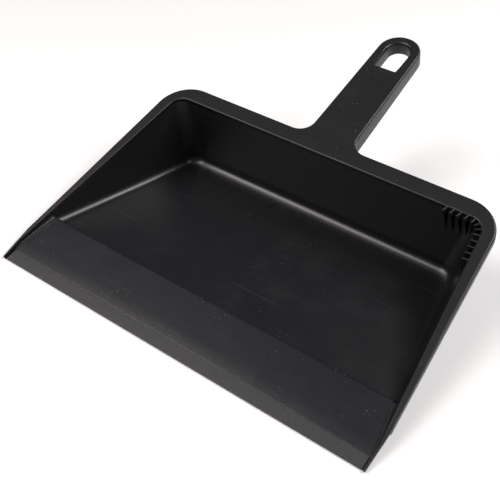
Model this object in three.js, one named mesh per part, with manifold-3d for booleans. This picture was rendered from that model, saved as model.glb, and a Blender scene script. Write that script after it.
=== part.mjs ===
// A moulded dust pan: a deep tray with a flat rim, a wedge entry ramp with a wear strip,
// a bristle comb in one rear corner and a channel handle with a D-shaped hanging hole.
//
// Everything is drawn in the plane of the rim, then tilted so that the pan stands on the
// leading edge of its lip and on the heel under its rear wall. In that drawing frame
// x runs across, y runs from the lip to the handle and z is the height above the rim's top.
import * as THREE from "three";
import { ConvexGeometry } from "three/addons/geometries/ConvexGeometry.js";
import { mergeVertices } from "three/addons/utils/BufferGeometryUtils.js";
import Module from "manifold-3d";

// ---- Driving dimensions, millimetres ----
const MOUTH_WIDTH = 305; // between the rim's side lines, produced to the lip
const REAR_WIDTH = 285; // between the rim's side lines at its rear edge
const RIM_LENGTH = 203; // lip to rear edge, along the rim
const REAR_RIM = 13.8; // width of the rear flange
const SIDE_RIM = 10.4; // width of the side flanges at the rear edge
const BEAD = 1.2; // what is left of the side flanges at the lip
const TUCK_LENGTH = 28; // over this length the front corners draw in
const TUCK = 2.3; // and by this much
const OUTER_CORNER = 27;
const INNER_CORNER = 11;
const FLANGE = 2.6; // thickness of the rim
const SKIRT_DEPTH = 6; // from the rim's top to the skirt's lower edge
const SKIRT_WALL = 2;

const TRAY_DEPTH = 58.3; // rim's top to the crease of floor and rear wall
const REAR_LEAN = 0.233; // how far the rear wall comes in per unit of depth
const SIDE_LEAN = 0.259;
const WALL = 2.5;
const CREASE_RADIUS = 7; // inside, between floor and rear wall

const RAMP_LENGTH = 48.5;
const RAMP_SINK = 1.5; // lip's upper face below the rim's top
const RAMP_DROP = 5.1; // what the ramp falls from lip to rear edge
const STEP = 4.6; // from the ramp's rear edge down to the floor
const LIP_LENGTH = 10;
const LIP_THICKNESS = 1.2; // at the leading edge
const LIP_GROOVE = 0.9; // between the wear strip's ends and the side beads
const RAMP_FULL_AT = 20; // from here on the ramp has its full wall

const HANDLE_LENGTH = 124; // past the rim's rear edge
const HANDLE_ROOT_WIDTH = 38.4;
const HANDLE_TIP_WIDTH = 34.4;
const HANDLE_DEPTH = 12;
const HANDLE_TOP = 3; // thickness of the handle's upper web
const HANDLE_WALL = 2.2;
const ROOT_RADIUS = 12;
const HOLE_WIDTH = 19.2;
const HOLE_LENGTH = 31.3;
const HOLE_DEPTH = 11.4; // length of the hole's walls
const HOLE_COLLAR = 2.2;

const TEETH = 12;
const TOOTH_PITCH = 5.25;
const TOOTH_THICKNESS = 1.4;
const TOOTH_REACH = 4.5;
const COMB_RUN_IN = 18.6; // straight part of the comb on the rear wall

const GAP = 0.3; // between neighbouring pieces
const REAR_BAND = 18; // depth of the rear wall's returns along the side walls
const FRONT_WALL_START = 30; // the side walls begin this far behind the lip
const OVERRUN = 8; // how far a cutter passes what it cuts
const ARC_STEPS = 10;

// ---- Values that follow ----
const SIDE_SLOPE = (MOUTH_WIDTH - REAR_WIDTH) / 2 / RIM_LENGTH;
const INNER_REAR = RIM_LENGTH - REAR_RIM;
const outerLineAt = (y) => MOUTH_WIDTH / 2 - SIDE_SLOPE * y;
const LIP_HALF = MOUTH_WIDTH / 2 - TUCK;
const TUCK_HALF = outerLineAt(TUCK_LENGTH);
const INNER_FRONT = LIP_HALF - BEAD;
const KINK_SHARE = 0.6; // part of the tuck that the narrow bead takes
const INNER_KINK_Y = KINK_SHARE * TUCK_LENGTH;
const outerHalfAt = (y) => LIP_HALF + ((TUCK_HALF - LIP_HALF) * y) / TUCK_LENGTH;
const INNER_KINK = outerHalfAt(INNER_KINK_Y) - BEAD;
const INNER_REAR_HALF = REAR_WIDTH / 2 - SIDE_RIM + SIDE_SLOPE * REAR_RIM;
const INNER_SLOPE = (INNER_KINK - INNER_REAR_HALF) / (INNER_REAR - INNER_KINK_Y);
const innerHalfAt = (y) => INNER_KINK - INNER_SLOPE * (y - INNER_KINK_Y);

const rampAt = (y) => -RAMP_SINK - (RAMP_DROP * y) / RAMP_LENGTH;
const FLOOR_START = rampAt(RAMP_LENGTH) - STEP;
const CREASE_Y = INNER_REAR - REAR_LEAN * TRAY_DEPTH;
const FLOOR_SLOPE = (TRAY_DEPTH + FLOOR_START) / (CREASE_Y - RAMP_LENGTH);
const floorAt = (y) => FLOOR_START - FLOOR_SLOPE * (y - RAMP_LENGTH);
const FLOOR_WALL = WALL * Math.hypot(1, FLOOR_SLOPE); // the floor's thickness along z
const LIP_BOTTOM = rampAt(0) - LIP_THICKNESS;

const TIP_RADIUS = HANDLE_TIP_WIDTH / 2;
const TIP_CENTRE = RIM_LENGTH + HANDLE_LENGTH - TIP_RADIUS;
const HOLE_RADIUS = HOLE_WIDTH / 2;
const HOLE_FLAT = TIP_CENTRE + HOLE_RADIUS - HOLE_LENGTH;

const crease = creaseCircle();
const TILT = standingTilt();

// ---- Materials ----
const rimFinish = finish(0x2a2a2b, 0.5);
const trayFinish = finish(0x1f1f21, 0.42);
const rampFinish = finish(0x323236, 0.5);
const lipFinish = finish(0x444446, 0.7);

const wasm = await Module();
wasm.setup();

const pan = new THREE.Group();
pan.rotation.x = TILT;
pan.position.z = -LIP_BOTTOM * Math.cos(TILT);
pan.position.y = -overallLength() / 2;

const shell = trayShell();
addTray();
addRim();
addHandle();

const group = new THREE.Group();
group.add(pan);
export default group;

// ---- Geometry of the tray ----

// Centre of the inside fillet between the floor and the rear wall.
function creaseCircle() {
  const floorNormal = new THREE.Vector2(FLOOR_SLOPE, 1).normalize();
  const wallNormal = new THREE.Vector2(-1, REAR_LEAN).normalize();
  const corner = new THREE.Vector2(CREASE_Y, -TRAY_DEPTH);
  const half = floorNormal.clone().add(wallNormal).normalize();
  const distance = CREASE_RADIUS / half.dot(floorNormal);
  return { centre: corner.addScaledVector(half, distance), floorNormal, wallNormal };
}

// The angle at which the lip's lower edge and the rounded heel touch one plane.
function standingTilt() {
  const run = crease.centre.y - LIP_BOTTOM;
  const distance = Math.hypot(crease.centre.x, run);
  const heel = CREASE_RADIUS + WALL;
  return Math.atan2(-run, crease.centre.x) + Math.asin(heel / distance);
}

// Front to back size once tilted: the bead's top corner to the handle tip's lower edge.
function overallLength() {
  const tip = RIM_LENGTH + HANDLE_LENGTH;
  return tip * Math.cos(TILT) + HANDLE_DEPTH * Math.sin(TILT);
}

// The crease's arc at a given radius, from the floor's side to the wall's side.
function creaseArc(radius) {
  const from = Math.atan2(-crease.floorNormal.y, -crease.floorNormal.x);
  const to = Math.atan2(-crease.wallNormal.y, -crease.wallNormal.x);
  const points = [];
  for (let i = 0; i <= ARC_STEPS; i++) {
    const angle = from + ((to - from) * i) / ARC_STEPS;
    const x = crease.centre.x + radius * Math.cos(angle);
    points.push(new THREE.Vector2(x, crease.centre.y + radius * Math.sin(angle)));
  }
  return points;
}

// A block across the whole pan whose side view is the given outline.
function acrossBlock(points) {
  const width = MOUTH_WIDTH + 2 * OVERRUN;
  const shape = new THREE.Shape(points);
  const geometry = new THREE.ExtrudeGeometry(shape, { depth: width, bevelEnabled: false });
  const x = new THREE.Vector3(1, 0, 0);
  const y = new THREE.Vector3(0, 1, 0);
  const z = new THREE.Vector3(0, 0, 1);
  geometry.translate(0, 0, -width / 2);
  geometry.applyMatrix4(new THREE.Matrix4().makeBasis(y, z, x));
  return solid(geometry);
}

// Closes a side view above the pan, behind its rear wall.
function closeAbove(points) {
  const last = points[points.length - 1];
  points.push(new THREE.Vector2(last.x + REAR_RIM, last.y));
  points.push(new THREE.Vector2(RIM_LENGTH + OVERRUN, OVERRUN));
  points.push(new THREE.Vector2(-OVERRUN, OVERRUN));
  return points;
}

// What lies above the ramp and the floor.
function aboveTray() {
  const points = [
    new THREE.Vector2(-OVERRUN, rampAt(-OVERRUN)),
    new THREE.Vector2(RAMP_LENGTH, rampAt(RAMP_LENGTH)),
    new THREE.Vector2(RAMP_LENGTH, FLOOR_START),
    ...creaseArc(CREASE_RADIUS),
  ];
  return acrossBlock(closeAbove(points));
}

// What lies above the underside of the lip, ramp and floor.
function aboveUnderside() {
  const riser = RAMP_LENGTH - WALL;
  const points = [
    new THREE.Vector2(-OVERRUN, LIP_BOTTOM),
    new THREE.Vector2(0, LIP_BOTTOM),
    new THREE.Vector2(RAMP_FULL_AT, rampAt(RAMP_FULL_AT) - WALL),
    new THREE.Vector2(riser, rampAt(riser) - WALL),
    new THREE.Vector2(riser, floorAt(riser) - FLOOR_WALL),
    ...creaseArc(CREASE_RADIUS + WALL),
  ];
  return acrossBlock(closeAbove(points));
}

// The inside of the tray as a tapered block with rounded rear corners, grown outwards.
function trayBlock(grow) {
  const points = [];
  const levels = [OVERRUN, -TRAY_DEPTH - 2 * OVERRUN];
  levels.forEach((level) => {
    const shrink = SIDE_LEAN * -level - grow;
    const rear = INNER_REAR + REAR_LEAN * level + grow;
    const half = (y) => innerHalfAt(y) - shrink;
    const frontY = -OVERRUN;
    const front = INNER_FRONT - shrink;
    const outline = cornerArc(half, rear, INNER_CORNER + grow);
    outline.push(new THREE.Vector2(half(INNER_KINK_Y), INNER_KINK_Y));
    outline.push(new THREE.Vector2(front, frontY));
    outline.forEach((p) => {
      points.push(new THREE.Vector3(p.x, p.y, level));
      points.push(new THREE.Vector3(-p.x, p.y, level));
    });
  });
  return solid(new ConvexGeometry(points));
}

// Points of the rounded rear corner between a side line and the rear line, side first.
function cornerArc(half, rear, radius) {
  const slope = half(0) - half(1);
  const centreY = rear - radius;
  const centreX = half(centreY) - radius * Math.hypot(1, slope);
  const from = Math.atan(slope);
  const points = [];
  for (let i = 0; i <= ARC_STEPS; i++) {
    const angle = from + ((Math.PI / 2 - from) * i) / ARC_STEPS;
    const x = centreX + radius * Math.cos(angle);
    points.push(new THREE.Vector2(x, centreY + radius * Math.sin(angle)));
  }
  return points;
}

// Everything between the inner planes of the side walls, moved out by the given amount.
function betweenSides(grow) {
  const points = [];
  [OVERRUN, -TRAY_DEPTH - 2 * OVERRUN].forEach((level) => {
    [INNER_KINK_Y, RIM_LENGTH + OVERRUN].forEach((y) => {
      const x = innerHalfAt(y) + SIDE_LEAN * level + grow;
      points.push(new THREE.Vector3(x, y, level), new THREE.Vector3(-x, y, level));
    });
    const front = INNER_FRONT + SIDE_LEAN * level + grow;
    points.push(new THREE.Vector3(front, -OVERRUN, level));
    points.push(new THREE.Vector3(-front, -OVERRUN, level));
  });
  return solid(new ConvexGeometry(points));
}

// Everything in front of a plane that runs parallel to the rear wall.
function beforeRear(distance) {
  const top = INNER_REAR + REAR_LEAN * OVERRUN - distance;
  const low = -TRAY_DEPTH - 2 * OVERRUN;
  return acrossBlock([
    new THREE.Vector2(-OVERRUN, low),
    new THREE.Vector2(INNER_REAR + REAR_LEAN * low - distance, low),
    new THREE.Vector2(top, OVERRUN),
    new THREE.Vector2(-OVERRUN, OVERRUN),
  ]);
}

// The moulded tray: everything of wall thickness between the two tapered blocks.
function trayShell() {
  const hollow = trayBlock(0).intersect(aboveTray());
  const footprint = plate(rimOutline(0, 0), -2 * TRAY_DEPTH, 0);
  return trayBlock(WALL).intersect(aboveUnderside()).intersect(footprint).subtract(hollow);
}

function addTray() {
  const walls = shell.intersect(slab(-RIM_LENGTH, 2 * RIM_LENGTH, -SKIRT_DEPTH - GAP));
  add("rear_wall", walls.subtract(beforeRear(REAR_BAND)), trayFinish);

  const along = walls.intersect(beforeRear(REAR_BAND + GAP)).subtract(betweenSides(0));
  const span = [FRONT_WALL_START, RIM_LENGTH, -2 * TRAY_DEPTH, 0];
  add("left_wall", along.intersect(boxBetween(-MOUTH_WIDTH, 0, ...span)), trayFinish);
  add("right_wall", along.intersect(boxBetween(0, MOUTH_WIDTH, ...span)), trayFinish);

  const inside = shell.intersect(betweenSides(-GAP));
  const floor = inside.intersect(slab(RAMP_LENGTH + GAP, RIM_LENGTH, 0));
  add("floor_panel", floor.intersect(beforeRear(REAR_BAND + GAP)), trayFinish);
  add("entry_ramp", inside.intersect(slab(LIP_LENGTH + GAP / 2, RAMP_LENGTH, 0)), rampFinish);

  const lip = shell.intersect(betweenSides(-LIP_GROOVE));
  add("front_lip", lip.intersect(slab(0, LIP_LENGTH - GAP / 2, 0)), lipFinish);
}

// The whole width of the pan between two distances from the lip, up to a given height.
function slab(front, rear, top) {
  return boxBetween(-MOUTH_WIDTH, MOUTH_WIDTH, front, rear, -2 * TRAY_DEPTH, top);
}

// Where the comb begins on the rear wall.
function combStart() {
  const corner = cornerArc(innerHalfAt, INNER_REAR, INNER_CORNER);
  return new THREE.Vector2(corner[ARC_STEPS].x - COMB_RUN_IN, INNER_REAR);
}

// The comb's path is the inner edge of the rim, from the rear wall round the right corner.
function combTeeth() {
  const corner = cornerArc(innerHalfAt, INNER_REAR, INNER_CORNER).reverse();
  const path = new THREE.CurvePath();
  const start = combStart();
  const sideEnd = INNER_REAR - INNER_CORNER - TEETH * TOOTH_PITCH;
  const points = [start, ...corner, new THREE.Vector2(innerHalfAt(sideEnd), sideEnd)];
  for (let i = 1; i < points.length; i++) path.add(new THREE.LineCurve(points[i - 1], points[i]));
  const beside = slab(0, RIM_LENGTH, -SKIRT_DEPTH).intersect(trayBlock(-GAP));
  const rooted = trayBlock(WALL / 2).subtract(slab(-RIM_LENGTH, 2 * RIM_LENGTH, -SKIRT_DEPTH));
  const limit = beside.add(rooted);
  const total = path.getLength();
  const made = [];
  for (let i = 0; i < TEETH; i++) {
    const u = (i * TOOTH_PITCH) / total;
    made.push(combTooth(path.getPointAt(u), path.getTangentAt(u), limit));
  }
  return made;
}

// One tooth: a blade square to the rim's edge that runs out in the leaning wall.
function combTooth(point, tangent, limit) {
  const height = TOOTH_REACH / Math.min(REAR_LEAN, SIDE_LEAN);
  const length = TOOTH_REACH + WALL / 2;
  const blade = new THREE.BoxGeometry(TOOTH_THICKNESS, length, height);
  blade.translate(0, length / 2 - TOOTH_REACH, -height / 2);
  blade.rotateZ(Math.atan2(tangent.y, tangent.x));
  blade.translate(point.x, point.y, 0);
  return solid(blade).intersect(limit);
}

// ---- The rim ----

// The rim's outer outline, drawn in by the given amount.
function rimOutline(inset, front) {
  const half = (y) => outerLineAt(y) - inset;
  const right = cornerArc(half, RIM_LENGTH - inset, OUTER_CORNER - inset);
  const sideFront = Math.max(front, TUCK_LENGTH);
  right.unshift(new THREE.Vector2(half(sideFront), sideFront));
  if (front < TUCK_LENGTH) right.unshift(new THREE.Vector2(outerHalfAt(front) - inset, front));
  const left = right.map((p) => new THREE.Vector2(-p.x, p.y)).reverse();
  return new THREE.Shape([...right, ...left]);
}

function plate(shape, bottom, top) {
  const geometry = new THREE.ExtrudeGeometry(shape, {
    depth: top - bottom,
    bevelEnabled: false,
    curveSegments: ARC_STEPS * 2,
  });
  return solid(geometry.translate(0, 0, bottom));
}

// The rim is the flange, its skirt and the top of the walls, down to the skirt's edge.
function addRim() {
  const flange = plate(rimOutline(0, 0), -FLANGE, 0);
  const outside = plate(rimOutline(0, TUCK_LENGTH), -SKIRT_DEPTH, -FLANGE / 2);
  const inside = plate(rimOutline(SKIRT_WALL, -OVERRUN), -SKIRT_DEPTH - OVERRUN, -FLANGE);
  const plates = betweenSides(0).intersect(beforeRear(REAR_BAND));
  const wallTops = shell.subtract(slab(-RIM_LENGTH, 2 * RIM_LENGTH, -SKIRT_DEPTH)).subtract(plates);
  const bare = flange.add(outside.subtract(inside)).subtract(trayBlock(0)).add(wallTops);
  const whole = combTeeth().reduce((sum, tooth) => sum.add(tooth), bare);

  const split = combStart().x - TOOTH_PITCH;
  const side = MOUTH_WIDTH;
  const span = [-OVERRUN, RIM_LENGTH + OVERRUN, -TRAY_DEPTH, OVERRUN];
  add("rear_rim", whole.intersect(boxBetween(-split, split, ...span)), rimFinish);
  add("left_rim", whole.intersect(boxBetween(-side, -split - GAP, ...span)), rimFinish);
  add("right_rim", whole.intersect(boxBetween(split + GAP, side, ...span)), rimFinish);
}

// ---- The handle ----

// The handle's outline from above, drawn in by the given amount.
function handleOutline(inset) {
  const rootY = RIM_LENGTH + GAP + inset;
  const taper = (HANDLE_ROOT_WIDTH - HANDLE_TIP_WIDTH) / 2 / (TIP_CENTRE - RIM_LENGTH);
  const half = (y) => HANDLE_ROOT_WIDTH / 2 - taper * (y - RIM_LENGTH) - inset;
  const flare = ROOT_RADIUS + inset;
  const flareTop = RIM_LENGTH + GAP + ROOT_RADIUS;
  const foot = half(flareTop) + ROOT_RADIUS + inset;
  const radius = TIP_RADIUS - inset;
  const shape = new THREE.Shape();
  const lowest = Math.asin(Math.min(1, (flareTop - rootY) / flare));
  shape.moveTo(-foot + flare * Math.cos(lowest), rootY);
  shape.lineTo(foot - flare * Math.cos(lowest), rootY);
  shape.absarc(foot, flareTop, flare, Math.PI + lowest, Math.PI, true);
  shape.absarc(0, TIP_CENTRE, radius, Math.atan(taper), Math.PI - Math.atan(taper), false);
  shape.absarc(-foot, flareTop, flare, 0, -lowest, true);
  return shape;
}

// The hanging hole: an arch towards the tip and a straight edge towards the pan.
function holeShape(grow) {
  const radius = HOLE_RADIUS + grow;
  const shape = new THREE.Shape();
  shape.moveTo(radius, HOLE_FLAT - grow);
  shape.lineTo(radius, TIP_CENTRE);
  shape.absarc(0, TIP_CENTRE, radius, 0, Math.PI, false);
  shape.lineTo(-radius, HOLE_FLAT - grow);
  return shape;
}

function addHandle() {
  const outside = plate(handleOutline(0), -HANDLE_DEPTH, 0);
  const inside = plate(handleOutline(HANDLE_WALL), -HANDLE_DEPTH - OVERRUN, -HANDLE_TOP);
  const collar = plate(holeShape(HOLE_COLLAR), -HOLE_DEPTH, -HANDLE_TOP / 2);
  const hole = plate(holeShape(0), -HANDLE_DEPTH - OVERRUN, OVERRUN);
  add("handle", outside.subtract(inside).add(collar).subtract(hole), rimFinish);
}

// ---- Helpers ----

function finish(color, roughness) {
  return new THREE.MeshStandardMaterial({ color, roughness, metalness: 0 });
}

function boxBetween(x0, x1, y0, y1, z0, z1) {
  const geometry = new THREE.BoxGeometry(x1 - x0, y1 - y0, z1 - z0);
  return solid(geometry.translate((x0 + x1) / 2, (y0 + y1) / 2, (z0 + z1) / 2));
}

// A closed geometry as a solid that can be joined and cut.
function solid(geometry) {
  const bare = geometry.clone();
  bare.deleteAttribute("normal");
  bare.deleteAttribute("uv");
  const merged = mergeVertices(bare, 1e-4);
  return new wasm.Manifold(new wasm.Mesh({
    numProp: 3,
    vertProperties: merged.attributes.position.array,
    triVerts: new Uint32Array(merged.index.array),
  }));
}

function add(name, body, material) {
  const made = body.getMesh();
  const geometry = new THREE.BufferGeometry();
  geometry.setAttribute("position", new THREE.BufferAttribute(made.vertProperties, 3));
  geometry.setIndex(new THREE.BufferAttribute(made.triVerts, 1));
  geometry.computeVertexNormals();
  const mesh = new THREE.Mesh(geometry, material);
  mesh.name = name;
  pan.add(mesh);
}
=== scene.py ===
"""A black moulded dust pan: flat rim, channel handle, sloping tray, entry ramp, lip strip and comb."""

import logging
import math
from dataclasses import dataclass
from enum import Enum
from typing import Any, Callable, Iterable, Sequence, Union

import bmesh
import bpy
from mathutils import Euler, Matrix, Vector


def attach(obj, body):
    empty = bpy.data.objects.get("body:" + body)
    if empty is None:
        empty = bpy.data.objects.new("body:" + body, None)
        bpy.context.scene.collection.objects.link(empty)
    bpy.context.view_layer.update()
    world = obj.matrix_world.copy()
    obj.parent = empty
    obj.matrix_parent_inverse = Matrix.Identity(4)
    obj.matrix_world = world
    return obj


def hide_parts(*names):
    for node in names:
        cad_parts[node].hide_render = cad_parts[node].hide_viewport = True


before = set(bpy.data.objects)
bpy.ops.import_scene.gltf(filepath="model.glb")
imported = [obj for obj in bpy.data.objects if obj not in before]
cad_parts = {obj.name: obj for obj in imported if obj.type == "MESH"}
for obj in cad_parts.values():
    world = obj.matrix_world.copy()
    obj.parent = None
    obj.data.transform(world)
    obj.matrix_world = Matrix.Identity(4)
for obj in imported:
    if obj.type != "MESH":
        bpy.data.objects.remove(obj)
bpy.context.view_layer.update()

LOG = logging.getLogger("dust_pan")
MM = 0.001
NEAR = 1e-3


@dataclass(frozen=True)
class PanSizes:
    """The pan's driving sizes in millimetres.

    They are in the plane of the rim: y runs from the lip to the handle and z upwards from the rim.
    """

    mouth_width: float = 305.0
    rear_width: float = 285.0
    rim_length: float = 203.0
    rear_rim: float = 13.8
    side_rim: float = 10.4
    bead: float = 1.2
    tuck_length: float = 28.0
    tuck: float = 2.3
    kink_share: float = 0.6
    outer_corner: float = 27.0
    inner_corner: float = 11.0
    rear_lean: float = 0.233
    side_lean: float = 0.259
    tray_depth: float = 58.3
    tray_wall: float = 2.3
    tray_top: float = -2.35
    tray_clear: float = 0.25
    ramp_length: float = 48.5
    ramp_sink: float = 1.5
    ramp_drop: float = 5.1
    step: float = 4.6
    lip_length: float = 10.0
    lip_groove: float = 0.9
    lip_bottom: float = -2.7
    handle_length: float = 124.0
    handle_root: float = 38.4
    handle_tip: float = 34.4
    handle_depth: float = 12.0
    tilt: float = math.radians(18.2574)

    @property
    def side_slope(self) -> float:
        """How much each outer side closes in per millimetre towards the rear."""
        return (self.mouth_width - self.rear_width) / 2 / self.rim_length

    @property
    def inner_rear(self) -> float:
        """Where the rear rim's inner edge lies."""
        return self.rim_length - self.rear_rim

    @property
    def lip_half(self) -> float:
        """Half the width over the front corners."""
        return self.mouth_width / 2 - self.tuck

    @property
    def kink_y(self) -> float:
        """Where the side's inner edge leaves the narrow bead."""
        return self.tuck_length * self.kink_share

    @property
    def crease_y(self) -> float:
        """Where the rear wall would meet the floor."""
        return self.inner_rear - self.rear_lean * self.tray_depth

    @property
    def floor_start(self) -> float:
        """The floor's height under the ramp's step."""
        return self.ramp_at(self.ramp_length) - self.step

    def outer_line_at(self, y: float) -> float:
        """Half the rim's outer width behind the tuck."""
        return self.mouth_width / 2 - self.side_slope * y

    def outer_half_at(self, y: float) -> float:
        """Half the outer width along the tucked front corners."""
        tucked = self.outer_line_at(self.tuck_length)
        return self.lip_half + (tucked - self.lip_half) * y / self.tuck_length

    @property
    def inner_slope(self) -> float:
        """Find how fast each inner side edge closes in behind the kink.

        Returns:
            The slope, in millimetres per millimetre.
        """
        rear = self.rear_width / 2 - self.side_rim + self.side_slope * self.rear_rim
        kink = self.outer_half_at(self.kink_y) - self.bead
        return (kink - rear) / (self.inner_rear - self.kink_y)

    def inner_half_at(self, y: float) -> float:
        """Find half the width between the side rims' inner edges.

        Args:
            y: The distance from the mouth.

        Returns:
            The half width in millimetres.
        """
        if y < self.kink_y:
            return self.outer_half_at(y) - self.bead
        kink = self.outer_half_at(self.kink_y) - self.bead
        return kink - self.inner_slope * (y - self.kink_y)

    def wall_at(self, y: float, z: float) -> float:
        """Half the width between the side walls at a height."""
        return self.inner_half_at(y) + self.side_lean * z + self.tray_clear

    def ramp_at(self, y: float) -> float:
        """The ramp's height."""
        return -self.ramp_sink - self.ramp_drop * y / self.ramp_length

    def overall_length(self) -> float:
        """The length of the tilted pan along the floor."""
        tip = self.rim_length + self.handle_length
        return tip * math.cos(self.tilt) + self.handle_depth * math.sin(self.tilt)

    def placed(self) -> Matrix:
        """Set the rim's plane where the pan stands.

        Returns:
            The matrix from the rim's plane in millimetres to the frame in metres.
        """
        lift = -self.lip_bottom * math.cos(self.tilt)
        shift = Matrix.Translation(Vector((0.0, -self.overall_length() / 2, lift)) * MM)
        return shift @ Matrix.Rotation(self.tilt, 4, "X") @ Matrix.Scale(MM, 4)


SIZES = PanSizes()


class Slot(Enum):
    """The material slots of the part."""

    RIM = "rim_plastic"
    TRAY = "tray_plastic"
    RAMP = "ramp_plastic"
    LIP = "lip_strip"


# ---- Finishes ----


Value = Union["Wire", float]


class Wire:
    """A socket that can be used in sums and products."""

    def __init__(self, surface: "Surface", socket: bpy.types.NodeSocket) -> None:
        """Remember the surface and the socket."""
        self.surface = surface
        self.socket = socket

    def _math(self, operation: str, left: Value, right: Value) -> "Wire":
        """One Math node."""
        return self.surface.node("ShaderNodeMath", {"operation": operation}, {0: left, 1: right})

    def __add__(self, other: Value) -> "Wire":
        """Sum."""
        return self._math("ADD", self, other)

    def __radd__(self, other: Value) -> "Wire":
        """Sum with a number in front."""
        return self._math("ADD", other, self)

    def __sub__(self, other: Value) -> "Wire":
        """Difference."""
        return self._math("SUBTRACT", self, other)

    def __rsub__(self, other: Value) -> "Wire":
        """Difference from a number."""
        return self._math("SUBTRACT", other, self)

    def __mul__(self, other: Value) -> "Wire":
        """Product."""
        return self._math("MULTIPLY", self, other)

    def __rmul__(self, other: Value) -> "Wire":
        """Product with a number in front."""
        return self._math("MULTIPLY", other, self)

    def ramp(self, low: float, high: float) -> "Wire":
        """Turn the value into a smooth mask.

        Args:
            low: Where the mask is nothing; it may be the greater.
            high: Where the mask is one.

        Returns:
            The mask.
        """
        settings = {"interpolation_type": "SMOOTHSTEP"}
        inputs = {"Value": self, "From Min": low, "From Max": high}
        return self.surface.node("ShaderNodeMapRange", settings, inputs, "Result")


class Surface:
    """A material under construction."""

    def __init__(self, name: str) -> None:
        """Start from an empty node tree with one principled shader.

        Args:
            name: The material's name.
        """
        self.material = bpy.data.materials.new(name)
        self.material.use_nodes = True
        self.tree = self.material.node_tree
        self.shader = self.tree.nodes["Principled BSDF"]

    def node(
        self, kind: str, settings: dict[str, Any], inputs: dict[Any, Any], output: Any = 0
    ) -> Wire:
        """Add a node.

        Args:
            kind: The node's type.
            settings: Its properties, set first.
            inputs: Values or wires for its sockets.
            output: Which output to hand back.

        Returns:
            The output as a wire.
        """
        made = self.tree.nodes.new(kind)
        for key, value in settings.items():
            setattr(made, key, value)
        for key, value in inputs.items():
            self.feed(made.inputs[key], value)
        return Wire(self, made.outputs[output])

    def feed(self, socket: bpy.types.NodeSocket, value: Any) -> None:
        """Link a wire to a socket, or set the socket's value.

        Args:
            socket: The input.
            value: The wire or the value.
        """
        if isinstance(value, Wire):
            self.tree.links.new(value.socket, socket)
        else:
            socket.default_value = value

    def set(self, **inputs: Any) -> None:
        """Feed the shader's sockets, named with underscores for spaces."""
        for key, value in inputs.items():
            self.feed(self.shader.inputs[key.replace("_", " ")], value)

    def place(self, turn: float = 0.0, stretch: Sequence[float] = (1.0, 1.0, 1.0)) -> Wire:
        """Object coordinates, turned about the upright axis and stretched.

        Args:
            turn: The angle in radians.
            stretch: The scale on each axis.

        Returns:
            The coordinates.
        """
        here = self.node("ShaderNodeTexCoord", {}, {}, "Object")
        inputs = {"Vector": here, "Rotation": (0.0, 0.0, turn), "Scale": tuple(stretch)}
        return self.node("ShaderNodeMapping", {"vector_type": "POINT"}, inputs)

    def noise(self, where: Wire, scale: float, detail: float = 2.0, rough: float = 0.5) -> Wire:
        """A noise value in 0 to 1."""
        inputs = {"Vector": where, "Scale": scale, "Detail": detail, "Roughness": rough}
        return self.node("ShaderNodeTexNoise", {"noise_dimensions": "3D"}, inputs)

    def mix(self, share: Wire, plain: Sequence[float], other: Union[Wire, Sequence[float]]) -> Wire:
        """Blend two colours.

        Args:
            share: How much of the other colour.
            plain: The colour at none.
            other: The colour at one.

        Returns:
            The blended colour.
        """
        settings = {"data_type": "RGBA"}
        return self.node("ShaderNodeMix", settings, {0: share, 6: plain, 7: other}, 2)


@dataclass(frozen=True)
class Scratches:
    """Fine scratches in one direction: the angle, the stretch of their noise and where they start."""

    turn: float
    stretch: tuple[float, float, float]
    low: float
    high: float


SCRATCHES = (
    Scratches(0.5, (14.0, 420.0, 60.0), 0.70, 0.76),
    Scratches(-0.9, (10.0, 520.0, 60.0), 0.72, 0.77),
)


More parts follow.
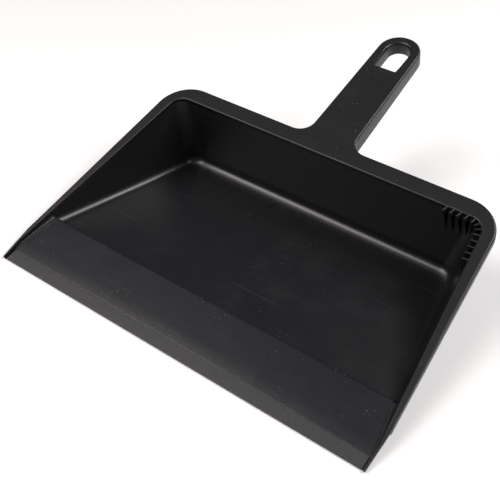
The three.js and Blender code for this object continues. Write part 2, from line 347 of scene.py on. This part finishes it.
@dataclass(frozen=True)
class WornPlastic:
    """Black moulded plastic with a fine grain, dust specks and light scuffs."""

    place: Slot
    colour: tuple[float, float, float] = (0.0065, 0.0065, 0.0074)
    roughness: float = 0.34
    unevenness: float = 0.10
    grain: float = 0.28
    grain_scale: float = 1400.0
    specks: float = 0.5
    speck_scale: float = 420.0
    speck_size: float = 0.10
    speck_blur: float = 1.6
    dust_scale: float = 60.0
    dust_rough: float = 0.3
    scuffs: float = 0.15
    scuff_tint: float = 0.22
    scuff_rough: float = 0.15
    scuff_depth: float = 0.4
    cloud_scale: float = 38.0
    patch_scale: float = 9.0
    film: float = 0.018
    gloss: float = 0.4
    bump_depth: float = 0.0002
    dust_colour: tuple[float, float, float] = (0.20, 0.20, 0.205)

    def build(self) -> bpy.types.Material:
        """Make the material.

        Returns:
            The material.
        """
        surface = Surface(self.place.value)
        here = surface.place()
        grain = surface.noise(here, self.grain_scale, detail=3.0, rough=0.6)
        clouds = surface.noise(here, self.cloud_scale, detail=4.0, rough=0.6)
        patches = surface.noise(here, self.patch_scale).ramp(low=0.35, high=0.75)
        dust = self._specks(surface, here) * self.specks
        lines = self._lines(surface) * self.scuffs
        film = clouds.ramp(low=0.45, high=0.8) * patches * self.film
        share = dust + lines * self.scuff_tint + film
        surface.set(Base_Color=surface.mix(share, (*self.colour, 1.0), (*self.dust_colour, 1.0)))
        worn = lines * self.scuff_rough + dust * self.dust_rough
        surface.set(Roughness=self.roughness + (clouds - 0.5) * self.unevenness + worn)
        surface.set(Specular_IOR_Level=self.gloss)
        height = grain + lines * self.scuff_depth
        bump = {"Strength": self.grain, "Distance": self.bump_depth, "Height": height}
        surface.set(Normal=surface.node("ShaderNodeBump", {}, bump, "Normal"))
        return surface.material

    def _specks(self, surface: Surface, here: Wire) -> Wire:
        """Sparse dust specks.

        Args:
            surface: The material under construction.
            here: The coordinates.

        Returns:
            One on a speck, nothing elsewhere.
        """
        cells = {"Vector": here, "Scale": self.speck_scale}
        settings = {"feature": "F1"}
        near = surface.node("ShaderNodeTexVoronoi", settings, cells, "Distance")
        thick = surface.noise(here, self.dust_scale, detail=3.0, rough=0.7).ramp(low=0.5, high=0.72)
        return near.ramp(self.speck_size * self.speck_blur, self.speck_size) * thick

    def _lines(self, surface: Surface) -> Wire:
        """Fine scratches in two directions.

        Args:
            surface: The material under construction.

        Returns:
            One on a scratch, nothing elsewhere.
        """
        along, across = (
            surface.noise(surface.place(one.turn, one.stretch), 1.0).ramp(one.low, one.high)
            for one in SCRATCHES
        )
        return along + across


# ---- Building pieces ----


@dataclass
class Piece:
    """A finished piece and how it takes its place in the frame."""

    name: str
    shape: bmesh.types.BMesh
    slot: Slot
    material: bpy.types.Material
    nodes: tuple[str, ...]
    finishing: Callable[[bpy.types.Object], None]

    def add(self) -> None:
        """Put the piece in the scene, on the body, in place of its nodes."""
        mesh = bpy.data.meshes.new(self.name)
        self.shape.transform(SIZES.placed())
        self.shape.to_mesh(mesh)
        self.shape.free()
        mesh.materials.append(self.material)
        for polygon in mesh.polygons:
            polygon.use_smooth = True
        made = bpy.data.objects.new(self.name, mesh)
        bpy.context.scene.collection.objects.link(made)
        self.finishing(made)
        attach(made, "root")
        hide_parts(*self.nodes)
        LOG.info("%s: %d faces", self.name, len(mesh.polygons))


@dataclass(frozen=True)
class Corner:
    """One corner of a flat outline, with the radius it's rounded to."""

    x: float
    y: float
    radius: float = 0.0
    steps: int = 8


def round_corner(
    shape: bmesh.types.BMesh, corner: bmesh.types.BMVert, radius: float, steps: int
) -> None:
    """Round one corner of a flat face.

    Args:
        shape: The mesh.
        corner: The corner's vertex.
        radius: The radius.
        steps: The number of segments.
    """
    sides = [edge.other_vert(corner).co - corner.co for edge in corner.link_edges]
    reach = radius / math.tan(sides[0].angle(sides[1]) / 2)
    bmesh.ops.bevel(
        shape,
        geom=[corner],
        offset=reach,
        offset_type="OFFSET",
        segments=steps,
        profile=0.5,
        affect="VERTICES",
        material=-1,
        clamp_overlap=False,
    )


def round_edges(
    shape: bmesh.types.BMesh, edges: list[bmesh.types.BMEdge], width: float, steps: int
) -> None:
    """Round edges.

    Args:
        shape: The mesh.
        edges: The edges.
        width: How far the rounding reaches on each side.
        steps: The number of segments.
    """
    bmesh.ops.bevel(
        shape,
        geom=edges,
        offset=width,
        offset_type="OFFSET",
        segments=steps,
        profile=0.5,
        affect="EDGES",
        material=-1,
        clamp_overlap=False,
    )


def flat_face(shape: bmesh.types.BMesh, points: Iterable[Vector]) -> bmesh.types.BMFace:
    """Add one face through a few points."""
    return shape.faces.new([shape.verts.new(point) for point in points])


def mirrored(shape: bmesh.types.BMesh) -> None:
    """Close a right half with its left half across x = 0.

    Args:
        shape: The mesh of the right half.
    """
    middle = [face for face in shape.faces if all(abs(v.co.x) < NEAR for v in face.verts)]
    bmesh.ops.delete(shape, geom=middle, context="FACES_ONLY")
    everything = shape.verts[:] + shape.edges[:] + shape.faces[:]
    bmesh.ops.mirror(shape, geom=everything, axis="X", merge_dist=NEAR)
    bmesh.ops.remove_doubles(shape, verts=shape.verts[:], dist=NEAR)
    bmesh.ops.recalc_face_normals(shape, faces=shape.faces[:])


def add_solidify(made: bpy.types.Object, thickness: float, group: str = "") -> None:
    """Give a skin its wall, behind its faces.

    Args:
        made: The object.
        thickness: The wall in millimetres.
        group: A vertex group that thins the wall.
    """
    wall = made.modifiers.new("wall", "SOLIDIFY")
    wall.thickness = thickness * MM
    wall.offset = -1.0
    wall.use_even_offset = True
    wall.use_quality_normals = True
    if group:
        wall.vertex_group = group


def add_bevel(made: bpy.types.Object, width: float, steps: int) -> None:
    """Round the edges by their weights.

    Args:
        made: The object.
        width: The width at full weight, in millimetres.
        steps: The number of segments.
    """
    bevel = made.modifiers.new("rounding", "BEVEL")
    bevel.width = width * MM
    bevel.segments = steps
    bevel.limit_method = "WEIGHT"
    bevel.use_clamp_overlap = True
    bevel.miter_outer = "MITER_ARC"


def add_normals(made: bpy.types.Object) -> None:
    """Keep the flats flat beside the rounded edges."""
    weighted = made.modifiers.new("shading", "WEIGHTED_NORMAL")
    weighted.keep_sharp = True


class RimEdge(Enum):
    """What an edge of the rim's outline borders, with its rounding in millimetres."""

    OUTER = 1.6
    MOUTH = 0.8
    HOLE = 2.2
    HOLE_END = 0.5
    BEAD = 0.35
    MIDDLE = 0.0


@dataclass
class MouldedRim:
    """The flat rim with its skirt and the channel handle with its hanging hole, in one skin."""

    material: bpy.types.Material
    skirt: float = 6.0
    bead_skirt: float = 2.9
    front_skirt: float = 2.5
    step_length: float = 0.8
    root_radius: float = 12.0
    root_skirt: float = 14.2
    tip_skirt: float = 11.7
    mouth_lip: float = 2.4
    hole_lip: float = 11.4
    tip_share: float = 0.985
    hole_half: float = 9.6
    hole_length: float = 31.3
    hole_corner: float = 0.6
    hole_margin: float = 2.0
    wall: float = 1.6
    bead_wall: float = 0.45
    wall_growth: float = 1.6
    rounding_steps: int = 4
    sizes: PanSizes = SIZES

    def hole_flat(self) -> float:
        """Where the hole's straight end lies."""
        s = self.sizes
        return s.rim_length + s.handle_length - s.handle_tip / 2 + self.hole_half - self.hole_length

    def corners(self) -> list[Corner]:
        """The right half's outline from the handle's tip round to the hole.

        Returns:
            The corners in order.
        """
        s = self.sizes
        tip = s.rim_length + s.handle_length
        tip_half = s.handle_tip / 2
        top = tip - tip_half + self.hole_half
        flat = self.hole_flat()
        behind_step = s.tuck_length
        before_step = behind_step - self.step_length
        return [
            Corner(0.0, tip),
            Corner(tip_half, tip, tip_half * self.tip_share, steps=14),
            Corner(s.handle_root / 2, s.rim_length, self.root_radius),
            Corner(s.rear_width / 2, s.rim_length, s.outer_corner, steps=14),
            Corner(s.outer_line_at(behind_step), behind_step),
            Corner(s.outer_half_at(before_step), before_step),
            Corner(s.lip_half, 0.0),
            Corner(s.lip_half - s.bead, 0.0),
            Corner(s.inner_half_at(s.kink_y), s.kink_y),
            Corner(s.inner_half_at(s.inner_rear), s.inner_rear, s.inner_corner, steps=10),
            Corner(0.0, s.inner_rear),
            Corner(0.0, flat),
            Corner(self.hole_half, flat, self.hole_corner, steps=2),
            Corner(self.hole_half, top, self.hole_half, steps=12),
            Corner(0.0, top),
        ]

    def kind(self, edge: bmesh.types.BMEdge) -> RimEdge:
        """Tell what an edge of the outline borders.

        Args:
            edge: The edge.

        Returns:
            The kind of border.
        """
        s = self.sizes
        middle = (edge.verts[0].co + edge.verts[1].co) / 2
        if middle.x < NEAR:
            return RimEdge.MIDDLE
        tip_centre = s.rim_length + s.handle_length - s.handle_tip / 2
        past = Vector((middle.x, max(0.0, middle.y - tip_centre)))
        in_handle = middle.y > s.rim_length + self.root_radius
        if in_handle and past.length < self.hole_half + self.hole_margin:
            at_end = past.y == 0.0 and middle.y < self.hole_flat() + self.hole_corner
            return RimEdge.HOLE_END if at_end else RimEdge.HOLE
        if middle.y < s.tuck_length:
            return RimEdge.BEAD
        if middle.y < s.inner_rear + NEAR and middle.x < s.inner_half_at(middle.y) + NEAR:
            return RimEdge.MOUTH
        return RimEdge.OUTER

    def skirt_at(self, y: float) -> float:
        """How deep the skirt hangs at a place along the outline.

        Args:
            y: The distance from the mouth.

        Returns:
            The depth in millimetres.
        """
        s = self.sizes
        if y < s.tuck_length - NEAR:
            return self.front_skirt + (self.bead_skirt - self.front_skirt) * y / s.tuck_length
        if y < s.rim_length:
            return self.skirt
        root = min(1.0, (y - s.rim_length) / self.root_radius)
        along = max(0.0, (y - s.rim_length - self.root_radius) / (s.handle_length - self.root_radius))
        handle = self.root_skirt + (self.tip_skirt - self.root_skirt) * along
        return self.skirt + (handle - self.skirt) * root

    def outward(self, point: Vector) -> Vector:
        """Find the direction from the mouth to the rim.

        Args:
            point: A point of the inner edge.

        Returns:
            The direction, of length one.
        """
        s = self.sizes
        centre_y = s.inner_rear - s.inner_corner
        centre_x = s.inner_half_at(centre_y) - s.inner_corner
        across = max(0.0, point.x - centre_x)
        along = max(0.0, point.y - centre_y)
        return Vector((across, along, 0.0)).normalized()

    @staticmethod
    def is_low(edge: bmesh.types.BMEdge) -> bool:
        """Tell the edges below the rim's top from those on it."""
        return min(v.co.z for v in edge.verts) < -NEAR

    def is_mouth(self, edge: bmesh.types.BMEdge) -> bool:
        """Tell the inner bead edges and the mouth from the outer ones.

        Args:
            edge: The edge.

        Returns:
            Whether it's an inner one.
        """
        s = self.sizes
        middle = (edge.verts[0].co + edge.verts[1].co) / 2
        return middle.y > NEAR and middle.x < s.inner_half_at(middle.y) + NEAR

    def half(self) -> bmesh.types.BMesh:
        """The skin of the right half.

        Returns:
            The mesh.
        """
        shape = bmesh.new()
        corners = self.corners()
        flat_face(shape, [Vector((c.x, c.y, 0.0)) for c in reversed(corners)])
        shape.verts.ensure_lookup_table()
        rounded = [(v, c) for v, c in zip(shape.verts[:], reversed(corners)) if c.radius]
        for vert, corner in rounded:
            round_corner(shape, vert, corner.radius, corner.steps)
        bmesh.ops.remove_doubles(shape, verts=shape.verts[:], dist=0.01)
        marks = shape.edges.layers.int.new("border")
        borders = {kind: [e for e in shape.edges if self.kind(e) is kind] for kind in RimEdge}
        for number, kind in enumerate(RimEdge, start=1):
            for edge in borders[kind]:
                edge[marks] = number
        hole = borders[RimEdge.HOLE] + borders[RimEdge.HOLE_END]
        mouth = borders[RimEdge.MOUTH] + [e for e in borders[RimEdge.BEAD] if self.is_mouth(e)]
        outer = borders[RimEdge.OUTER] + [e for e in borders[RimEdge.BEAD] if not self.is_mouth(e)]
        self.hang(shape, outer, lambda p: Vector((0.0, 0.0, -self.skirt_at(p.y))))
        self.hang(shape, hole, lambda p: Vector((0.0, 0.0, -self.hole_lip)))
        self.hang(shape, mouth, self.lean)
        return shape

    def lean(self, point: Vector) -> Vector:
        """Find the way down the mouth's lip.

        Args:
            point: A point of the mouth's edge.

        Returns:
            The move to the bottom of the lip.
        """
        out = self.outward(point)
        lean = self.sizes.side_lean * out.x * out.x + self.sizes.rear_lean * out.y * out.y
        return Vector((0.0, 0.0, -self.mouth_lip)) - out * lean * self.mouth_lip

    @staticmethod
    def hang(
        shape: bmesh.types.BMesh,
        edges: list[bmesh.types.BMEdge],
        way: Callable[[Vector], Vector],
    ) -> None:
        """Draw a strip of faces from border edges.

        Args:
            shape: The mesh.
            edges: The edges.
            way: Where each point goes, as a move from where it is.
        """
        made = bmesh.ops.extrude_edge_only(shape, edges=edges)
        for item in made["geom"]:
            if isinstance(item, bmesh.types.BMVert):
                item.co += way(item.co.copy())

    def finish(self, made: bpy.types.Object) -> None:
        """Give the skin its wall, which is thin along the beads, and keep its flats flat.

        Args:
            made: The rim's object.
        """
        group = made.vertex_groups.new(name="wall")
        s = self.sizes
        back = s.placed().inverted()
        thin = self.bead_wall / self.wall
        for vertex in made.data.vertices:
            along = ((back @ vertex.co).y - s.kink_y) / (s.inner_rear - s.kink_y)
            grown = max(0.0, along * self.wall_growth)
            group.add([vertex.index], min(1.0, thin + (1.0 - thin) * grown), "REPLACE")
        add_solidify(made, self.wall, "wall")
        add_normals(made)

    def build(self) -> None:
        """Add the rim and handle."""
        shape = self.half()
        mirrored(shape)
        marks = shape.edges.layers.int["border"]
        for number, kind in enumerate(RimEdge, start=1):
            if kind is RimEdge.MIDDLE:
                continue
            edges = [e for e in shape.edges if e[marks] == number and not self.is_low(e)]
            round_edges(shape, edges, kind.value, self.rounding_steps)
        top = max(shape.faces, key=lambda face: face.calc_area())
        if top.normal.z < 0:
            bmesh.ops.reverse_faces(shape, faces=shape.faces[:])
        nodes = ("rear_rim", "left_rim", "right_rim", "handle")
        Piece("moulded_rim", shape, Slot.RIM, self.material, nodes, self.finish).add()


@dataclass
class MouldedTray:
    """The sloping floor and the three leaning walls, in one skin."""

    material: bpy.types.Material
    crease: float = 8.4
    side_share: float = 0.5
    sizes: PanSizes = SIZES

    def build(self) -> None:
        """Add the tray."""
        s = self.sizes
        shape = bmesh.new()
        front = s.ramp_length
        rear_half = s.wall_at(s.crease_y, -s.tray_depth)
        front_half = s.wall_at(front, s.floor_start)
        rear = s.crease_y + s.tray_clear
        floor = flat_face(
            shape,
            [
                Vector((-front_half, front, s.floor_start)),
                Vector((front_half, front, s.floor_start)),
                Vector((rear_half, rear, -s.tray_depth)),
                Vector((-rear_half, rear, -s.tray_depth)),
            ],
        )
        walls = [e for e in floor.edges if (e.verts[0].co.y + e.verts[1].co.y) / 2 > front + NEAR]
        made = bmesh.ops.extrude_edge_only(shape, edges=walls)
        for item in made["geom"]:
            if isinstance(item, bmesh.types.BMVert):
                self.raise_corner(item)
        posts = [e for e in shape.edges if self.is_post(e)]
        round_edges(shape, posts, s.inner_corner, steps=8)
        weights = shape.edges.layers.float.new("bevel_weight_edge")
        for edge in shape.edges:
            if self.is_crease(edge):
                edge[weights] = self.crease_share(edge)
        bmesh.ops.recalc_face_normals(shape, faces=shape.faces[:])
        widest = max(shape.faces, key=lambda face: face.calc_area())
        if widest.normal.z < 0:
            bmesh.ops.reverse_faces(shape, faces=shape.faces[:])
        nodes = ("rear_wall", "left_wall", "right_wall", "floor_panel")
        Piece("moulded_tray", shape, Slot.TRAY, self.material, nodes, self.finish).add()

    def raise_corner(self, vert: bmesh.types.BMVert) -> None:
        """Move a drawn corner up to the rim.

        Args:
            vert: The corner, still at the floor.
        """
        s = self.sizes
        side = math.copysign(1.0, vert.co.x)
        edge_y = vert.co.y
        y = vert.co.y
        if vert.co.y > s.ramp_length + NEAR:
            edge_y = s.inner_rear + s.rear_lean * s.tray_top
            y = edge_y + s.tray_clear
        vert.co = Vector((side * s.wall_at(edge_y, s.tray_top), y, s.tray_top))

    def is_post(self, edge: bmesh.types.BMEdge) -> bool:
        """Tell the two upright rear corners."""
        low, high = sorted(edge.verts, key=lambda v: v.co.z)
        return high.co.z > self.sizes.tray_top - NEAR and low.co.z < -self.sizes.tray_depth + NEAR

    def is_crease(self, edge: bmesh.types.BMEdge) -> bool:
        """Tell the edges between the floor and the walls.

        Args:
            edge: The edge.

        Returns:
            Whether it's one of them.
        """
        if len(edge.link_faces) < 2:
            return False
        brim = self.sizes.tray_top - NEAR
        flats = [f for f in edge.link_faces if all(v.co.z < brim for v in f.verts)]
        return len(flats) == 1

    def crease_share(self, edge: bmesh.types.BMEdge) -> float:
        """How much of the rear crease's rounding an edge of the floor has."""
        run = (edge.verts[1].co - edge.verts[0].co).normalized()
        return self.side_share + (1.0 - self.side_share) * run.x * run.x

    def finish(self, made: bpy.types.Object) -> None:
        """Round the creases and give the skin its wall, outwards.

        Args:
            made: The tray's object.
        """
        add_bevel(made, self.crease, steps=6)
        add_solidify(made, self.sizes.tray_wall)
        add_normals(made)


@dataclass
class RampPlate:
    """The entry ramp with its step, its low sides and the ledge that carries the lip."""

    material: bpy.types.Material
    plate: float = 2.4
    ledge_sink: float = 0.7
    ledge_front: float = 0.4
    ledge_round: float = 0.05
    ledge_gap: float = 0.05
    lip_round: float = 0.15
    middles: tuple[float, float] = (30.0, 39.0)
    riser: float = 2.3
    riser_gap: float = 0.3
    side_rise: float = 0.3
    side_inset: float = 0.55
    edge_round: float = 1.4
    fillet_front: float = 0.3
    fillet_rear: float = 5.0
    sizes: PanSizes = SIZES

    def stations(self) -> list[tuple[float, float, float, float]]:
        """The cross-sections from the lip to the step.

        Returns:
            For each, the place, the top's height, the bottom's height and the side fillet's radius.
        """
        s = self.sizes
        lip = s.lip_length
        full = 2 * lip
        end = s.ramp_length
        deep = s.floor_start - self.riser
        thin = s.ramp_at(0.0) - s.lip_bottom
        sunk = self.ledge_sink
        start = self.ledge_front
        low = s.ramp_at(lip) - thin
        made = [
            (start, s.ramp_at(start) - sunk, s.ramp_at(start) - thin, self.ledge_round),
            (lip - self.ledge_gap, s.ramp_at(lip) - sunk, low, self.ledge_round),
            (lip, s.ramp_at(lip), low, self.lip_round),
        ]
        for y in (full, *self.middles, end - self.riser - self.riser_gap):
            made.append((y, s.ramp_at(y), s.ramp_at(y) - self.plate, self.fillet_at(y)))
        for y in (end - self.riser, end):
            made.append((y, s.ramp_at(y), deep, self.fillet_at(y)))
        return made

    def fillet_at(self, y: float) -> float:
        """Find the radius between the ramp and its side, which grows to the rear.

        Args:
            y: The distance from the mouth.

        Returns:
            The radius in millimetres.
        """
        lip = self.sizes.lip_length
        share = (y - lip) / (self.sizes.ramp_length - lip)
        return self.fillet_front + (self.fillet_rear - self.fillet_front) * share

    def section(
        self, shape: bmesh.types.BMesh, y: float, high: float, low: float, radius: float
    ) -> None:
        """Draw one cross-section of the right half.

        Args:
            shape: The mesh.
            y: The place.
            high: The ramp's height.
            low: The bottom's height.
            radius: The side fillet's radius.
        """
        s = self.sizes
        top = max(s.tray_top, high + self.side_rise)
        limit = s.outer_half_at(y) - self.side_inset if y < s.tuck_length else math.inf
        outline = [
            (0.0, high),
            (s.wall_at(y, high), high),
            (s.wall_at(y, top), top),
            (min(s.wall_at(y, top) + s.tray_wall, limit), top),
            (min(s.wall_at(y, low) + s.tray_wall, limit), low),
            (0.0, low),
        ]
        face = flat_face(shape, [Vector((x, y, z)) for x, z in outline])
        round_corner(shape, face.verts[1], radius, steps=6)

    def build(self) -> None:
        """Add the ramp."""
        shape = bmesh.new()
        for station in self.stations():
            self.section(shape, *station)
        caps = sorted(shape.faces, key=lambda face: face.calc_center_median().y)
        loops = [list(face.edges) for face in caps]
        for before, after in zip(loops[:-1], loops[1:]):
            bmesh.ops.bridge_loops(shape, edges=before + after)
        bmesh.ops.delete(shape, geom=caps[1:-1], context="FACES_ONLY")
        mirrored(shape)
        brink = [e for e in shape.edges if all(self.at_brink(v) for v in e.verts)]
        round_edges(shape, brink, self.edge_round, steps=3)
        Piece("ramp_plate", shape, Slot.RAMP, self.material, ("entry_ramp",), add_normals).add()

    def at_brink(self, vert: bmesh.types.BMVert) -> bool:
        """Tell the points along the top of the step."""
        end = self.sizes.ramp_length
        return abs(vert.co.y - end) < NEAR and abs(vert.co.z - self.sizes.ramp_at(end)) < NEAR


@dataclass
class WearStrip:
    """The light, rough strip along the front lip."""

    material: bpy.types.Material
    thickness: float = 0.7
    edge_round: float = 0.3
    front_inset: float = 0.4
    rear_inset: float = 0.7
    sharp: float = 1.0
    sizes: PanSizes = SIZES

    def build(self) -> None:
        """Add the strip."""
        s = self.sizes
        shape = bmesh.new()
        rear = s.lip_length - s.lip_groove / 2
        front_half = s.inner_half_at(0.0) - s.lip_groove - self.front_inset
        rear_half = s.inner_half_at(rear) - s.lip_groove - self.rear_inset
        outer = [
            Vector((0.0, 0.0, s.ramp_at(0.0))),
            Vector((front_half, 0.0, s.ramp_at(0.0))),
            Vector((rear_half, rear, s.ramp_at(rear))),
            Vector((0.0, rear, s.ramp_at(rear))),
        ]
        face = flat_face(shape, outer)
        made = bmesh.ops.extrude_face_region(shape, geom=[face])
        moved = [item for item in made["geom"] if isinstance(item, bmesh.types.BMVert)]
        bmesh.ops.translate(shape, verts=moved, vec=Vector((0.0, 0.0, -self.thickness)))
        mirrored(shape)
        sharp = [e for e in shape.edges if e.calc_face_angle(0.0) > self.sharp]
        round_edges(shape, sharp, self.edge_round, steps=2)
        Piece("wear_strip", shape, Slot.LIP, self.material, ("front_lip",), add_normals).add()


@dataclass
class BristleComb:
    """The twelve blades round the right rear corner."""

    material: bpy.types.Material
    blades: int = 12
    pitch: float = 5.25
    thickness: float = 1.4
    reach: float = 4.5
    run_in: float = 18.6
    root: float = 0.8
    edge_round: float = 0.42
    sink: float = 0.08
    slant: float = math.radians(15)
    side_lean: float = 0.17
    sizes: PanSizes = SIZES

    def station(self, along: float) -> tuple[Vector, Vector, bool]:
        """Find a place on the rim's inner edge.

        Args:
            along: The distance from the comb's start.

        Returns:
            The point, the direction out to the rim, and whether it's on the rear wall.
        """
        s = self.sizes
        turn = math.atan2(1.0, s.inner_slope)
        centre_y = s.inner_rear - s.inner_corner
        centre_x = s.inner_half_at(centre_y) - s.inner_corner / math.sin(turn)
        centre = Vector((centre_x, centre_y, 0.0))
        if along < self.run_in:
            point = centre + Vector((along - self.run_in, s.inner_corner, 0.0))
            return point, Vector((0.0, 1.0, 0.0)), True
        angle = min(turn, (along - self.run_in) / s.inner_corner)
        out = Vector((math.sin(angle), math.cos(angle), 0.0))
        rest = max(0.0, along - self.run_in - turn * s.inner_corner)
        return centre + out * s.inner_corner + Vector((out.y, -out.x, 0.0)) * rest, out, False

    def build(self) -> None:
        """Add the blades."""
        for index in range(self.blades):
            point, out, on_rear = self.station(index * self.pitch)
            self.blade(index + 1, point, out, on_rear)

    def blade(self, number: int, point: Vector, out: Vector, on_rear: bool) -> None:
        """Add one blade.

        Args:
            number: Its number, from one.
            point: Where it meets the rim's inner edge.
            out: The direction to the rim.
            on_rear: Whether it's on the rear wall, where the blades lean.
        """
        s = self.sizes
        lean = s.rear_lean if on_rear else s.side_lean
        depth = self.reach / lean
        shape = bmesh.new()
        bmesh.ops.create_cube(shape, size=1.0)
        for vert in shape.verts:
            at_root = vert.co.y > 0
            at_foot = vert.co.z < 0
            down = depth if at_foot else self.sink
            y = self.root if at_root else -self.reach
            y -= lean * depth if at_root and at_foot else 0.0
            x = vert.co.x * self.thickness
            if on_rear:
                x += y * math.tan(self.slant) + down * self.side_lean
            vert.co = Vector((x, y, -down))
        round_edges(shape, shape.edges[:], self.edge_round, steps=2)
        bmesh.ops.recalc_face_normals(shape, faces=shape.faces[:])
        turned = Matrix.Rotation(-math.atan2(out.x, out.y), 4, "Z")
        shape.transform(Matrix.Translation(point) @ turned)
        name = f"comb_blade_{number:02d}"
        Piece(name, shape, Slot.RIM, self.material, ("right_rim",), add_normals).add()


# ---- The room ----


PAN_MIDDLE = (0.0, 0.0, 0.04)


@dataclass(frozen=True)
class Lamp:
    """One soft light."""

    name: str
    place: tuple[float, float, float]
    aim: tuple[float, float, float]
    size: tuple[float, float]
    power: float
    colour: tuple[float, float, float] = (1.0, 1.0, 1.0)

    def build(self) -> None:
        """Add the light."""
        data = bpy.data.lights.new(self.name, "AREA")
        data.shape = "RECTANGLE"
        data.size, data.size_y = self.size
        data.energy = self.power
        data.color = self.colour
        made = bpy.data.objects.new(self.name, data)
        made.location = self.place
        look = (Vector(self.aim) - Vector(self.place)).to_track_quat("-Z", "Y")
        made.rotation_euler = look.to_euler()
        bpy.context.scene.collection.objects.link(made)


LAMPS = (
    Lamp("back_right", (0.75, 0.51, 1.13), PAN_MIDDLE, (1.4, 0.32), 27.0, (1.0, 0.97, 0.96)),
    Lamp("front_left", (-0.62, -0.62, 1.15), PAN_MIDDLE, (0.85, 0.85), 23.0, (1.0, 0.94, 0.92)),
)


@dataclass
class Studio:
    """The pale floor, the lights and the camera."""

    eye: tuple[float, float, float] = (0.24008, -0.41820, 0.38677)
    aim: tuple[float, float, float] = (0.00440, -0.06733, 0.02971)
    roll: float = math.radians(2.84)
    lens: float = 57.66
    sensor: float = 36.0
    floor_half: float = 6.0
    floor_colour: float = 0.56
    floor_glow: float = 0.12
    sky: float = 0.15
    sky_colour: tuple[float, float, float, float] = (0.93, 0.96, 1.0, 1.0)
    near_clip: float = 0.01
    lamps: tuple[Lamp, ...] = LAMPS

    def build(self) -> None:
        """Add everything round the pan."""
        self.add_floor()
        self.add_sky()
        for lamp in self.lamps:
            lamp.build()
        self.add_camera()
        bpy.context.scene.view_settings.view_transform = "Standard"

    def add_floor(self) -> None:
        """Add the floor."""
        shape = bmesh.new()
        bmesh.ops.create_grid(shape, x_segments=1, y_segments=1, size=self.floor_half)
        mesh = bpy.data.meshes.new("studio_floor")
        shape.to_mesh(mesh)
        shape.free()
        surface = Surface("studio_floor")
        tone = self.floor_colour
        surface.set(Base_Color=(tone, tone, tone, 1.0), Roughness=0.9, Specular_IOR_Level=0.1)
        surface.set(Emission_Color=(1.0, 1.0, 1.0, 1.0), Emission_Strength=self.floor_glow)
        mesh.materials.append(surface.material)
        floor = bpy.data.objects.new("studio_floor", mesh)
        bpy.context.scene.collection.objects.link(floor)

    def add_sky(self) -> None:
        """Light the room evenly."""
        world = bpy.data.worlds.new("studio")
        world.use_nodes = True
        background = world.node_tree.nodes["Background"]
        background.inputs["Color"].default_value = self.sky_colour
        background.inputs["Strength"].default_value = self.sky
        bpy.context.scene.world = world

    def add_camera(self) -> None:
        """Add the camera."""
        data = bpy.data.cameras.new("camera")
        data.lens = self.lens
        data.sensor_width = self.sensor
        data.clip_start = self.near_clip
        made = bpy.data.objects.new("camera", data)
        look = (Vector(self.aim) - Vector(self.eye)).to_track_quat("-Z", "Y").to_matrix()
        turned = look @ Euler((0.0, 0.0, self.roll)).to_matrix()
        made.matrix_world = Matrix.Translation(Vector(self.eye)) @ turned.to_4x4()
        bpy.context.scene.collection.objects.link(made)
        bpy.context.scene.camera = made


RIM_FINISH = WornPlastic(Slot.RIM, roughness=0.38, gloss=0.32, grain=0.45, grain_scale=650.0)
# The tray takes a darker copy of the rim's plastic: painted shade for the tray's hollow, since the pan
# is one plastic throughout.
SHADED_TRAY_FINISH = WornPlastic(Slot.TRAY, colour=(0.0042, 0.0042, 0.0052), specks=0.3)
RAMP_FINISH = WornPlastic(
    Slot.RAMP,
    colour=(0.0055, 0.0055, 0.0074),
    roughness=0.36,
    gloss=0.32,
    scuffs=0.12,
    grain_scale=700.0,
)
LIP_FINISH = WornPlastic(
    Slot.LIP,
    colour=(0.0165, 0.0165, 0.019),
    roughness=0.48,
    grain=0.7,
    grain_scale=900.0,
    scuffs=0.9,
    specks=1.0,
)


def main() -> None:
    """Build the pan and its room."""
    logging.basicConfig(level=logging.INFO)
    rim = RIM_FINISH.build()
    MouldedRim(rim).build()
    BristleComb(rim).build()
    MouldedTray(SHADED_TRAY_FINISH.build()).build()
    RampPlate(RAMP_FINISH.build()).build()
    WearStrip(LIP_FINISH.build()).build()
    Studio().build()


if __name__ == "__main__":
    main()
